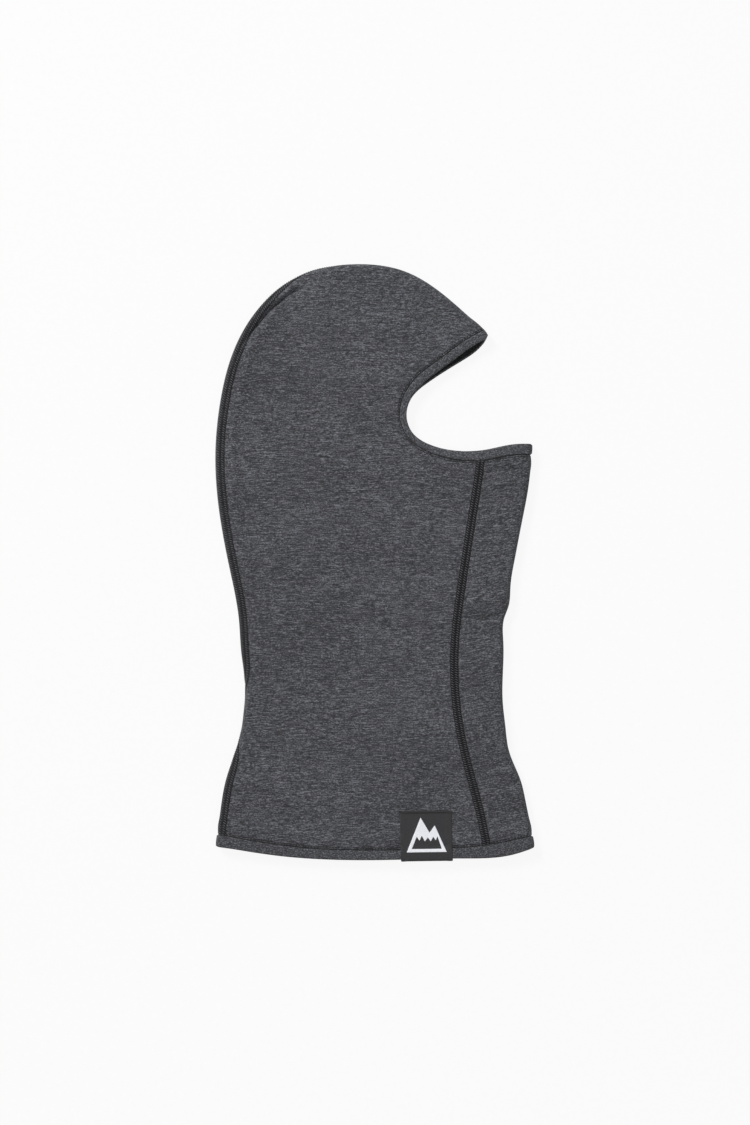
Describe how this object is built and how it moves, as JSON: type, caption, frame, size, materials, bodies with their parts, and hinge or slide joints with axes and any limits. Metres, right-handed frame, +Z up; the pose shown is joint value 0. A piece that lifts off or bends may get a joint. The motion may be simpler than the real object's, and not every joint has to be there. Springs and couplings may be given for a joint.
{
  "type": "balaclava",
  "caption": "Knitted balaclava that covers the head and neck, laid flat in profile, with a bound face opening and a hemmed neck.",
  "frame": {"origin": "centre of the bounding box's underside, on the surface that the hood lies on", "axes": "+X towards the wearer's face, +Y towards the crown of the head, +Z up through the flat hood, towards the wearer's right"},
  "size_m": [0.2401, 0.4492, 0.0106],
  "materials": {
    "side_cloth": "matte",
    "chin_cloth": "matte",
    "band_cloth": "matte",
    "seam_thread": "satin",
    "needle_thread": "satin",
    "label_weave": "satin",
    "label_mark": "satin",
    "label_thread": "satin"
  },
  "bodies": {
    "root": {"right_side_panel": "side_cloth", "left_side_panel": "side_cloth", "chin_panel": "chin_cloth", "face_binding": "band_cloth", "hem_band": "band_cloth", "centre_seam_cover": "seam_thread", "centre_seam_looper": "seam_thread", "right_front_seam_cover": "seam_thread", "right_front_seam_looper": "seam_thread", "left_front_seam_cover": "seam_thread", "left_front_seam_looper": "seam_thread", "face_binding_stitching": "needle_thread", "face_binding_looper": "needle_thread", "hem_stitching": "needle_thread", "hem_looper": "needle_thread", "label": "label_weave", "label_motif": "label_mark", "label_stitching": "label_thread"}
  },
  "joints": []
}
